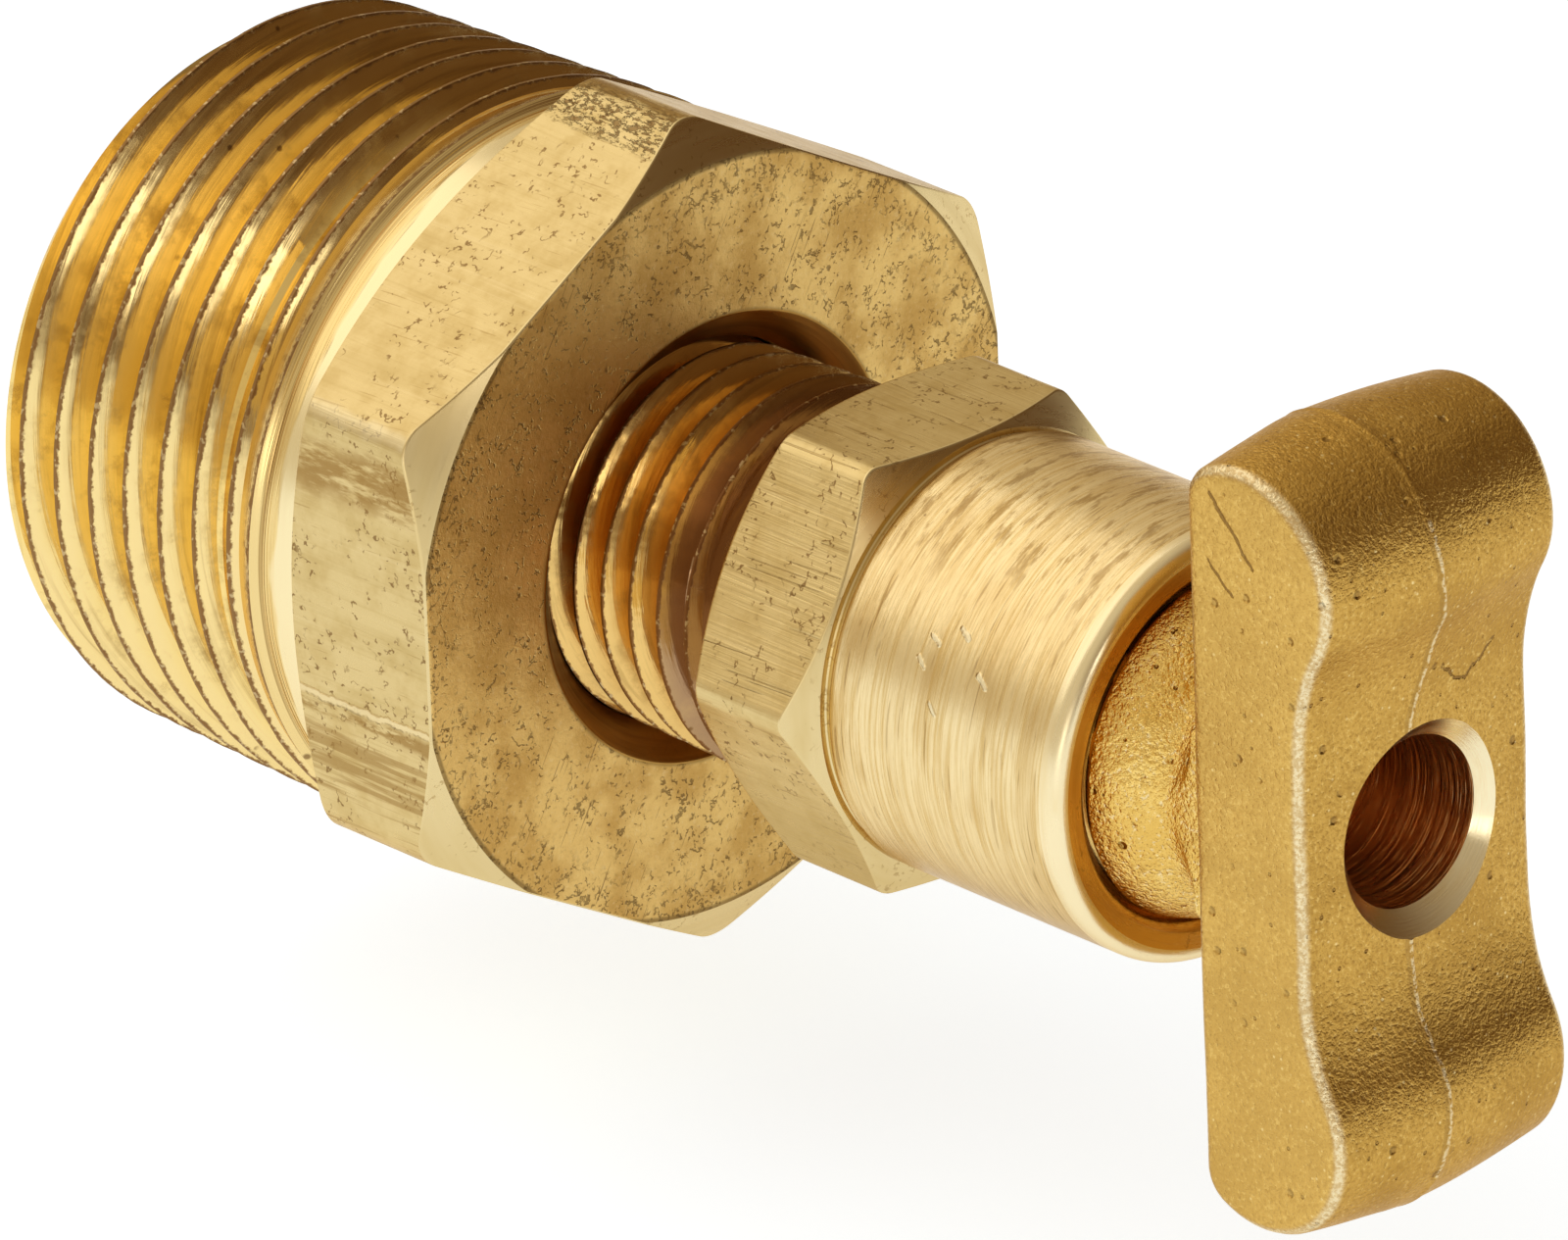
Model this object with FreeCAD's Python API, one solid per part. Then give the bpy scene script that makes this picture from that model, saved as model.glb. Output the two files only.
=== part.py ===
import FreeCAD, Part
import math
import os

# A brass drain cock screwed into a hexagon reducing bushing.
# The axis is X: the bushing's pipe thread starts at X = 0 and the tee handle ends the part.
# The handle stands along Z. Lengths are millimetres, and round sizes are diameters.

# Right-hand tapered pipe threads; their diameters are over the crests at the small end.
# A flat is the width of a crest or a root, as a share of the pitch. A turn is an angle from +Y:
# of the place where a crest crosses a thread's small end, or of a hexagon's first corner.
pipe_taper = 1 / 16
thread_angle = 60.0
thread_flat = 0.07
thread_joint_gap = 0.05

# Hexagon bushing
inlet_thread_diameter = 26.03
inlet_thread_length = 14.0
inlet_thread_pitch = 25.4 / 14
inlet_thread_turn = 140.0
inlet_thread_lead = 1.1
inlet_thread_runout = 3.8
neck_diameter = 26.3
neck_length = 2.0
bushing_flats = 27.0
bushing_corner_turn = 30.0
bushing_corner_round = 1.5
bushing_hex_length = 7.0
bushing_face_diameter = 27.5
hex_chamfer_angle = 30.0
bushing_drill = 11.1
bushing_drill_chamfer = 0.5
tapped_depth = 12.0
countersink_diameter = 16.1

# Cock body
cock_thread_diameter = 13.25
cock_thread_length = 13.9
cock_thread_engaged = 6.5
cock_thread_pitch = 25.4 / 18
cock_thread_turn = 295.0
cock_thread_lead = 0.6
cock_thread_runout = 2.8
body_flats = 15.875
body_corner_turn = 0.0
body_corner_round = 0.8
body_hex_length = 5.8
body_hex_back_diameter = 14.6
barrel_diameter = 15.6
barrel_length = 11.3
barrel_rim_round = 0.6
undercut_width = 0.5
undercut_depth = 0.25
mouth_diameter = 13.1
inlet_bore = 6.35
seat_inset = 2.4
seal_bore = 10.4
seal_bore_margin = 0.3

# Screw stem of the tee handle, closed; it backs out by stem_travel
stem_travel = 2.22
running_clearance = 0.05
seat_clearance = 0.1
stem_diameter = 11.9
stem_lead_gap = 0.6
nose_diameter = 9.4
nose_tip_diameter = 2.4
port_diameter = 2.8
port_setback = 1.6
port_drill = 4.0
ring_groove_setback = 4.0
ring_groove_width = 2.0
ring_groove_diameter = 7.7
drain_bore = 6.1
drain_bore_depth = 17.0
drain_rim_diameter = 7.7

# Hub and handle, with the parting plane of the forging at Y = 0
hub_diameter = 12.5
hub_setback = 1.5
hub_edge_diameter = 12.2
hub_fillet = 1.0
handle_standoff = 3.65
handle_width = 10.9
handle_thickness = 6.0
handle_draft_angle = 5.5
handle_edge_round = 0.5
lobe_spacing = 20.0
lobe_radius = 4.45
lobe_setback = 2.9
waist_flat = 7.9
back_corner_radius = 1.9

# Rubber ring on the stem
ring_squeeze_gap = 0.05

# Places along the axis
hex_back = inlet_thread_length + neck_length
bushing_face = hex_back + bushing_hex_length
cock_inlet = bushing_face - cock_thread_engaged
body_hex_back = cock_inlet + cock_thread_length
barrel_back = body_hex_back + body_hex_length
mouth = barrel_back + barrel_length
seat = body_hex_back - seat_inset
hub_centre = mouth - hub_setback
handle_back = mouth + handle_standoff
handle_front = handle_back + handle_thickness

chamfer_rise = math.tan(math.radians(hex_chamfer_angle))
flank_slope = math.tan(math.radians(thread_angle / 2))
CLEAR = 1.0
AXIS = FreeCAD.Vector(1, 0, 0)
SIDE = FreeCAD.Vector(0, 1, 0)
UP = FreeCAD.Vector(0, 0, 1)
ORIGIN = FreeCAD.Vector(0, 0, 0)


def at(x, radius):
    """A point of a turned profile."""
    return FreeCAD.Vector(x, 0, radius)


def revolved(edges):
    return Part.Face(Part.Wire(edges)).revolve(ORIGIN, AXIS, 360)


def turned(corners):
    """A turned solid whose half section has straight sides through the corners (x, radius)."""
    points = [at(x, radius) for x, radius in corners]
    return revolved(Part.makePolygon(points + points[:1]).Edges)


def hexagon(flats, start, end, first_corner, corner_round):
    """A hexagon bar along X with rounded corners, one of them at the angle first_corner from +Y."""
    radius = flats / math.sqrt(3)
    angles = [math.radians(first_corner + 60 * k) for k in range(7)]
    corners = [FreeCAD.Vector(start, radius * math.cos(a), radius * math.sin(a)) for a in angles]
    bar = Part.Face(Part.makePolygon(corners)).extrude(AXIS * (end - start))
    long_edges = [edge for edge in bar.Edges if abs(edge.tangentAt(edge.FirstParameter).x) > 0.5]
    return bar.makeFillet(corner_round, long_edges)


def chamfered_hexagon(flats, start, end, first_corner, corner_round, start_diameter, end_diameter):
    """A hexagon bar with both ends turned to a cone, which leaves the given circles on its ends."""
    outside = flats / math.sqrt(3) + CLEAR
    back_depth = (outside - start_diameter / 2) * chamfer_rise
    front_depth = (outside - end_diameter / 2) * chamfer_rise
    envelope = turned([
        (start, 0),
        (start, start_diameter / 2),
        (start + back_depth, outside),
        (end - front_depth, outside),
        (end, end_diameter / 2),
        (end, 0),
    ])
    return hexagon(flats, start, end, first_corner, corner_round).common(envelope)


def inlet_thread_radius(x):
    return inlet_thread_diameter / 2 + x * pipe_taper / 2


def cock_thread_radius(x):
    return cock_thread_diameter / 2 + (x - cock_inlet) * pipe_taper / 2


def tapped_radius(x):
    return cock_thread_radius(x) + thread_joint_gap


def thread_groove(start, end, crest, pitch, turn):
    """A V wound along the cone of the crests, slightly wider than the groove and deeper than its root."""
    radius = crest(start)
    groove_half = (0.5 - thread_flat / 2) * pitch
    outer_half = (0.5 - thread_flat / 4) * pitch
    outside = radius + (outer_half - groove_half) / flank_slope
    bottom = radius - groove_half / flank_slope
    profile = Part.makePolygon([
        FreeCAD.Vector(outside, 0, -outer_half),
        FreeCAD.Vector(outside, 0, outer_half),
        FreeCAD.Vector(bottom, 0, 0),
        FreeCAD.Vector(outside, 0, -outer_half),
    ])
    helix = Part.makeHelix(pitch, end - start, radius, math.degrees(math.atan(pipe_taper / 2)))
    sweep = Part.BRepOffsetAPI.MakePipeShell(helix)
    sweep.setBiNormalMode(UP)
    sweep.add(profile)
    sweep.build()
    sweep.makeSolid()
    groove = sweep.shape()
    # The helix is wound about Z from the X axis; this lays it along X, with turn counted from +Y
    groove.rotate(ORIGIN, UP, turn + 90)
    groove.rotate(ORIGIN, SIDE, 90)
    groove.translate(AXIS * start)
    return groove


def pipe_thread(start, length, crest, pitch, turn, lead, runout):
    """A threaded taper with a chamfered start, whose groove gets shallower over its last stretch."""
    end = start + length
    depth = (0.5 - thread_flat) * pitch / flank_slope
    blank = turned([
        (start, 0),
        (start, crest(start) - lead),
        (start + lead, crest(start + lead)),
        (end, crest(end)),
        (end, 0),
    ])
    core = turned([
        (start - pitch, 0),
        (start - pitch, crest(start - pitch) - depth),
        (end - runout, crest(end - runout) - depth),
        (end + pitch, crest(end) + depth * pitch / runout),
        (end + pitch, 0),
    ])
    groove = thread_groove(start - pitch / 2, end + pitch / 2, crest, pitch, turn)
    return blank.cut(groove.cut(core))


def hex_bushing():
    thread = pipe_thread(
        0,
        inlet_thread_length,
        inlet_thread_radius,
        inlet_thread_pitch,
        inlet_thread_turn,
        inlet_thread_lead,
        inlet_thread_runout,
    )
    neck_radius = neck_diameter / 2
    neck_start = inlet_thread_length + inlet_thread_radius(inlet_thread_length) - neck_radius
    neck = turned([
        (inlet_thread_length, 0),
        (inlet_thread_length, inlet_thread_radius(inlet_thread_length)),
        (neck_start, neck_radius),
        (hex_back, neck_radius),
        (hex_back, 0),
    ])
    head = chamfered_hexagon(
        bushing_flats,
        hex_back,
        bushing_face,
        bushing_corner_turn,
        bushing_corner_round,
        neck_diameter,
        bushing_face_diameter,
    )
    drill_radius = bushing_drill / 2
    tap_end = bushing_face - tapped_depth
    drill_end = tap_end - (tapped_radius(tap_end) - drill_radius)
    countersink_radius = countersink_diameter / 2
    sink_end = bushing_face - (countersink_radius - tapped_radius(bushing_face))
    passage = turned([
        (-CLEAR, 0),
        (-CLEAR, drill_radius + bushing_drill_chamfer + CLEAR),
        (bushing_drill_chamfer, drill_radius),
        (drill_end, drill_radius),
        (tap_end, tapped_radius(tap_end)),
        (sink_end, tapped_radius(sink_end)),
        (bushing_face + CLEAR, countersink_radius + CLEAR),
        (bushing_face + CLEAR, 0),
    ])
    return thread.fuse(neck).fuse(head).cut(passage).removeSplitter()


def nose_start():
    """Where the stem's cone reaches the nose diameter, clear of the seat by seat_clearance."""
    return seat + (nose_diameter - inlet_bore) / 2 + seat_clearance * math.sqrt(2)


def ring_groove_start():
    return nose_start() + ring_groove_setback


def seal_bore_end():
    """The smooth bore holds the rubber ring over the whole travel of the stem."""
    return ring_groove_start() + ring_groove_width + stem_travel + seal_bore_margin


def cock_body():
    bore_radius = stem_diameter / 2 + running_clearance
    seal_radius = seal_bore / 2
    inlet_radius = inlet_bore / 2
    mouth_radius = mouth_diameter / 2
    barrel_radius = barrel_diameter / 2
    thread = pipe_thread(
        cock_inlet,
        cock_thread_length,
        cock_thread_radius,
        cock_thread_pitch,
        cock_thread_turn,
        cock_thread_lead,
        cock_thread_runout,
    )
    nut = chamfered_hexagon(
        body_flats,
        body_hex_back,
        barrel_back,
        body_corner_turn,
        body_corner_round,
        body_hex_back_diameter,
        barrel_diameter,
    )
    rim = mouth - barrel_rim_round
    rim_curve = Part.Arc(
        at(rim, barrel_radius),
        at(
            rim + barrel_rim_round * math.sin(math.pi / 4),
            barrel_radius - barrel_rim_round * (1 - math.cos(math.pi / 4)),
        ),
        at(mouth, barrel_radius - barrel_rim_round),
    )
    undercut_radius = barrel_radius - undercut_depth
    undercut_end = barrel_back + undercut_width
    undercut_foot = at(undercut_end - undercut_depth, undercut_radius)
    barrel = revolved([
        Part.makeLine(at(barrel_back, 0), at(barrel_back, undercut_radius)),
        Part.makeLine(at(barrel_back, undercut_radius), undercut_foot),
        Part.makeLine(undercut_foot, at(undercut_end, barrel_radius)),
        Part.makeLine(at(undercut_end, barrel_radius), at(rim, barrel_radius)),
        rim_curve.toShape(),
        Part.makeLine(at(mouth, barrel_radius - barrel_rim_round), at(mouth, 0)),
        Part.makeLine(at(mouth, 0), at(barrel_back, 0)),
    ])
    seal_end = seal_bore_end()
    inside = turned([
        (cock_inlet - CLEAR, 0),
        (cock_inlet - CLEAR, inlet_radius),
        (seat, inlet_radius),
        (seat + seal_radius - inlet_radius, seal_radius),
        (seal_end, seal_radius),
        (seal_end + bore_radius - seal_radius, bore_radius),
        (mouth - (mouth_radius - bore_radius), bore_radius),
        (mouth + CLEAR, mouth_radius + CLEAR),
        (mouth + CLEAR, 0),
    ])
    return thread.fuse(nut).fuse(barrel).cut(inside).removeSplitter()


def on_circle(centre, radius, degrees):
    angle = math.radians(degrees)
    return at(centre[0] + radius * math.cos(angle), centre[1] + radius * math.sin(angle))


def profile_arc(centre, radius, start, end):
    """An arc of a turned profile about centre (x, radius), from one angle to another in degrees."""
    middle = (start + end) / 2
    points = [on_circle(centre, radius, degrees) for degrees in (start, middle, end)]
    return Part.Arc(*points).toShape()


def stem():
    """Hollow screw stem with its nose and the ball-shaped hub, up to the handle's back face."""
    nose_radius = nose_diameter / 2
    tip_radius = nose_tip_diameter / 2
    stem_radius = stem_diameter / 2
    cone_end = nose_start()
    groove = ring_groove_start()
    shank_start = seal_bore_end() + stem_radius - seal_bore / 2 + stem_lead_gap
    hub_radius = hub_diameter / 2
    hub_edge_radius = hub_edge_diameter / 2
    edge_angle = math.degrees(math.asin(hub_edge_radius / hub_radius))
    hub_edge = hub_centre + hub_radius * math.cos(math.radians(edge_angle))
    fillet_x = handle_back - hub_fillet
    fillet_y = math.sqrt((hub_radius + hub_fillet) ** 2 - (fillet_x - hub_centre) ** 2)
    blend_angle = math.degrees(math.atan2(fillet_y, fillet_x - hub_centre))
    inside_handle = handle_back + handle_thickness / 2
    corners = [
        (inside_handle, fillet_y),
        (inside_handle, 0),
        (cone_end - nose_radius + tip_radius, 0),
        (cone_end - nose_radius + tip_radius, tip_radius),
        (cone_end, nose_radius),
        (groove, nose_radius),
        (groove, ring_groove_diameter / 2),
        (groove + ring_groove_width, ring_groove_diameter / 2),
        (groove + ring_groove_width, nose_radius),
        (shank_start + nose_radius - stem_radius, nose_radius),
        (shank_start, stem_radius),
        (hub_edge - hub_edge_radius + stem_radius, stem_radius),
        (hub_edge, hub_edge_radius),
    ]
    points = [at(x, radius) for x, radius in corners]
    edges = [Part.makeLine(a, b) for a, b in zip(points, points[1:])]
    edges.append(profile_arc((hub_centre, 0), hub_radius, edge_angle, blend_angle))
    edges.append(profile_arc((fillet_x, fillet_y), hub_fillet, blend_angle - 180, 0))
    edges.append(Part.makeLine(at(handle_back, fillet_y), points[0]))
    solid = revolved(edges)
    # The blend into the handle stops where the rounding of the handle's sides begins
    flat_half = handle_width / 2 - handle_edge_round
    for start in (flat_half, -flat_half - fillet_y):
        corner = FreeCAD.Vector(fillet_x, start, -fillet_y)
        solid = solid.cut(Part.makeBox(inside_handle - fillet_x, fillet_y, 2 * fillet_y, corner))
    return solid


def handle_outline(y, inset):
    """The handle's outline in the plane y, drawn in by inset from its outline on the parting plane.

    The back face, two round lobes and the waist between them are tangent arcs about fixed centres.
    """
    lobe = (handle_front - lobe_setback, lobe_spacing / 2)
    waist_end = waist_flat / 2
    rise = lobe[0] - handle_front
    run = lobe[1] - waist_end
    waist_radius = (run ** 2 + rise ** 2 - lobe_radius ** 2) / (2 * (lobe_radius + rise))
    waist = (handle_front + waist_radius, waist_end)
    corner_x = handle_back + back_corner_radius
    corner_reach = (lobe_radius - back_corner_radius) ** 2 - (corner_x - lobe[0]) ** 2
    corner = (corner_x, lobe[1] + math.sqrt(corner_reach))
    corner_angle = math.degrees(math.atan2(corner[1] - lobe[1], corner[0] - lobe[0]))
    waist_angle = math.degrees(math.atan2(waist[1] - lobe[1], waist[0] - lobe[0]))
    arcs = [
        (corner, back_corner_radius - inset, 180, corner_angle),
        (lobe, lobe_radius - inset, corner_angle, waist_angle),
        (waist, waist_radius + inset, waist_angle + 180, 180),
    ]
    upper = [profile_arc(*values) for values in arcs]
    lower = [edge.mirror(ORIGIN, UP) for edge in upper]
    front = handle_front - inset
    front_line = Part.makeLine(at(front, waist_end), at(front, -waist_end))
    back = handle_back + inset
    back_line = Part.makeLine(at(back, -corner[1]), at(back, corner[1]))
    wire = Part.Wire(Part.__sortEdges__([back_line] + upper + [front_line] + lower))
    wire.translate(FreeCAD.Vector(0, y, 0))
    return wire


def handle_block():
    """The drafted tee bar between its two flat sides, with the sides' edges rounded."""
    half = handle_width / 2
    inset = half * math.tan(math.radians(handle_draft_angle))
    sections = [
        handle_outline(-half, inset),
        handle_outline(0, 0),
        handle_outline(half, inset),
    ]
    block = Part.makeLoft(sections, True, True)
    side_edges = [
        edge
        for edge in block.Edges
        if all(math.isclose(abs(v.Y), half, abs_tol=1e-4) for v in edge.Vertexes)
    ]
    return block.makeFillet(handle_edge_round, side_edges)


def tee_handle():
    bar = handle_block()
    rim_radius = drain_rim_diameter / 2
    drain_radius = drain_bore / 2
    drain_end = handle_front - drain_bore_depth
    port_radius = port_drill / 2
    port_place = nose_start() + port_setback
    rim_end = handle_front - (rim_radius - drain_radius)
    drain = turned([
        (port_place, 0),
        (port_place, port_radius),
        (drain_end - (drain_radius - port_radius), port_radius),
        (drain_end, drain_radius),
        (rim_end, drain_radius),
        (handle_front + CLEAR, rim_radius + CLEAR),
        (handle_front + CLEAR, 0),
    ])
    cross_port = Part.makeCylinder(
        port_diameter / 2,
        nose_diameter + 2 * CLEAR,
        FreeCAD.Vector(port_place, 0, -nose_diameter / 2 - CLEAR),
        UP,
    )
    return bar.fuse(stem()).cut(drain).cut(cross_port).removeSplitter()


def stem_o_ring():
    inner = ring_groove_diameter / 2
    outer = seal_bore / 2
    section_radius = (outer - inner) / 2 - ring_squeeze_gap
    centre = FreeCAD.Vector(ring_groove_start() + ring_groove_width / 2, 0, 0)
    return Part.makeTorus((inner + outer) / 2, section_radius, centre, AXIS)


os.makedirs("parts", exist_ok=True)
for make in (hex_bushing, cock_body, tee_handle, stem_o_ring):
    solid = make()
    solid.exportStep(f"parts/{make.__name__}.step")
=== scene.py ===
import math

import bmesh
import bpy
import numpy as np
from mathutils import Matrix, Vector, noise


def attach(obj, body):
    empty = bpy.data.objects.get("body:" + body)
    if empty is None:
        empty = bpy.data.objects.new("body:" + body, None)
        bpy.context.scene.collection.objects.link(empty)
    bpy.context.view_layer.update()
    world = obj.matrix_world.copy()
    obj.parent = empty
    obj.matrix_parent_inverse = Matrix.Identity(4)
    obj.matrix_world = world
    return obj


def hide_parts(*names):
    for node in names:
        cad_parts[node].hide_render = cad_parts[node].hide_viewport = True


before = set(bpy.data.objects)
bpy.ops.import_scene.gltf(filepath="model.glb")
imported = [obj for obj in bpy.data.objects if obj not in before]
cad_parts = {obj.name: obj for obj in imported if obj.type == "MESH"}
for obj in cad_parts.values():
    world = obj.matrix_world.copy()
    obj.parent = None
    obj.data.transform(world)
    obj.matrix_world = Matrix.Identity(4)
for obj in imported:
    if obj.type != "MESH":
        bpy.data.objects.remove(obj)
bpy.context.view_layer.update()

# Lengths are millimetres, in the frame of the solids: X is the axis, from the inlet thread to the handle.
# Angles round the axis are counted from +Y towards +Z.
MM = 0.001

# Pipe threads
PIPE_TAPER = 1 / 32
THREAD_FLAT = 0.07
FLANK_SLOPE = math.tan(math.radians(30))
WORN_DEPTH = 0.15

# Bushing
INLET_CREST = 13.015
INLET_END = 14.0
INLET_LEAD = 1.1
INLET_PITCH = 25.4 / 14
INLET_TURN = 140
INLET_RUNOUT = 3.8
INLET_WEAR = 0.018
NECK_RADIUS = 13.15
NECK_LENGTH = 2.0
BUSHING_FLAT = 13.5
BUSHING_CORNER = 30
BUSHING_ROUND = 1.5
BUSHING_LENGTH = 7.0
BUSHING_FACE_RADIUS = 13.75
SINK_RADIUS = 8.05
TAPPED_DEPTH = 12.0
DRILL_RADIUS = 5.55
DRILL_CHAMFER = 0.5
JOINT_GAP = 0.05

# Cock body
COCK_CREST = 6.625
COCK_LENGTH = 13.9
COCK_ENGAGED = 6.5
COCK_LEAD = 0.6
COCK_PITCH = 25.4 / 18
COCK_TURN = 295
COCK_RUNOUT = 2.8
COCK_WEAR = 0.014
BODY_FLAT = 7.9375
BODY_CORNER = 0
BODY_ROUND = 0.8
BODY_LENGTH = 5.8
BODY_BACK_RADIUS = 7.3
BARREL_RADIUS = 7.8
BARREL_LENGTH = 11.3
UNDERCUT_WIDTH = 0.5
UNDERCUT_DEPTH = 0.25
UNDERCUT_STRETCH = 1.6
UNDERCUT_CORNER = 0.05
RIM_ROUND = 0.6
MOUTH_RADIUS = 6.55
STEM_BORE = 6.0
SEAL_RADIUS = 5.2
SEAL_MARGIN = 0.3
SEAT_INSET = 2.4
INLET_RADIUS = 3.175

# Screw stem and its holes
STEM_TRAVEL = 2.22
SEAT_CLEARANCE = 0.1
NOSE_RADIUS = 4.7
TIP_RADIUS = 1.2
GROOVE_SETBACK = 4.0
GROOVE_WIDTH = 2.0
GROOVE_RADIUS = 3.85
STEM_RADIUS = 5.95
STEM_PITCH = 1.27
STEM_RUNOUT = 1.2
STEM_PLAIN_END = 0.15
SHANK_GAP = 0.6
PORT_SETBACK = 1.6
PORT_RADIUS = 2.0
CROSS_RADIUS = 1.4
DRAIN_RADIUS = 3.05
DRAIN_RIM = 3.85
DRAIN_DEPTH = 17.0

# Hub and tee handle
HUB_SETBACK = 1.5
HUB_RADIUS = 6.25
HUB_EDGE_RADIUS = 6.1
HUB_FILLET = 1.0
HANDLE_STANDOFF = 3.65
HANDLE_THICKNESS = 6.0
HANDLE_HALF = 5.45
HANDLE_DRAFT = math.tan(math.radians(5.5))
EDGE_ROUND = 0.5
LOBE_SETBACK = 2.9
LOBE_HEIGHT = 10.0
LOBE_RADIUS = 4.45
WAIST_END = 3.95
BACK_CORNER = 1.9

# Where the forging's parting line runs on the front, as (y, z) from the bottom to the top
PARTING_LINE = (
    (-0.82, -12.3), (-0.65, -9.0), (-0.88, -6.0), (-0.83, -4.0),
    (-0.60, 4.3), (-0.05, 6.1), (-0.05, 8.2), (-0.44, 9.5), (-0.68, 11.8),
)
PARTING_SOFT = 2.0
PARTING_REACH = 1.6
PARTING_WAVER = 0.06
FLASH_HEIGHT = 0.045
FORGED_WAVE = 0.04

# Places along the axis
BUSHING_BACK = INLET_END + NECK_LENGTH
BUSHING_FACE = BUSHING_BACK + BUSHING_LENGTH
TAP_END = BUSHING_FACE - TAPPED_DEPTH
COCK_INLET = BUSHING_FACE - COCK_ENGAGED
BODY_BACK = COCK_INLET + COCK_LENGTH
BARREL_BACK = BODY_BACK + BODY_LENGTH
MOUTH = BARREL_BACK + BARREL_LENGTH
SEAT = BODY_BACK - SEAT_INSET
NOSE_START = SEAT + NOSE_RADIUS - INLET_RADIUS + SEAT_CLEARANCE * math.sqrt(2)
PORT_PLACE = NOSE_START + PORT_SETBACK
GROOVE_START = NOSE_START + GROOVE_SETBACK
SEAL_END = GROOVE_START + GROOVE_WIDTH + STEM_TRAVEL + SEAL_MARGIN
SHANK_START = SEAL_END + STEM_RADIUS - SEAL_RADIUS + SHANK_GAP
HUB_CENTRE = MOUTH - HUB_SETBACK
HANDLE_BACK = MOUTH + HANDLE_STANDOFF
HANDLE_FRONT = HANDLE_BACK + HANDLE_THICKNESS
LOBE = (HANDLE_FRONT - LOBE_SETBACK, LOBE_HEIGHT)
DRAIN_END = HANDLE_FRONT - DRAIN_DEPTH

# Edges and mesh detail
CHAMFER_SLOPE = math.tan(math.radians(30))
EDGE_BEVEL = 0.06
BROKEN_EDGE = 0.1
WELD_GAP = 0.002
SLIVER = 0.0005
TURNED_SHARP = 18
HANDLE_SHARP = 32
CUT_CLEAR = 1.0


# Shapes

def column_angles(first_corner):
    """Angles of a turned mesh's columns, close together at a hexagon's rounded corners."""
    corner = [0.0, 0.5, 1.0, 1.5, 2.0, 2.4, 2.8]
    side = list(np.linspace(3.6, 56.4, 52))
    sector = corner + side + [60 - c for c in corner[:0:-1]]
    degrees = [first_corner + 60 * k + s for k in range(6) for s in sector]
    return np.radians(np.array(degrees + [first_corner + 360]))


def hexagon_radius(angles, flat, first_corner, corner_round):
    """Radius of a hexagon bar with rounded corners, at each angle."""
    offset = np.abs((angles - math.radians(first_corner) + math.pi / 6) % (math.pi / 3) - math.pi / 6)
    straight = flat / np.cos(math.pi / 6 - offset)
    centre = flat / math.cos(math.pi / 6) - corner_round / math.sin(math.pi / 3)
    inside = np.maximum(corner_round ** 2 - (centre * np.sin(offset)) ** 2, 0)
    rounded = centre * np.cos(offset) + np.sqrt(inside)
    tangent = math.atan2(corner_round * 0.5, centre + corner_round * math.cos(math.pi / 6))
    return np.where(offset < tangent, rounded, straight)


def soft_noise(points, size, seed):
    """Smooth noise between -1 and 1 at each point, with features of about the given size."""
    return np.array([noise.noise(Vector(p) / size + Vector((seed, 0, 0))) for p in points])


def crest_wear(points, below):
    """How worn a thread is at each point, from 0 to 2: in patches, and only just below the crest."""
    patches = soft_noise(points, 0.9, 3.0) + 0.7 * soft_noise(points, 0.4, 9.0)
    return np.clip(1 - below / WORN_DEPTH, 0, 1) * np.clip(0.4 + patches, 0, 2)


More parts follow.
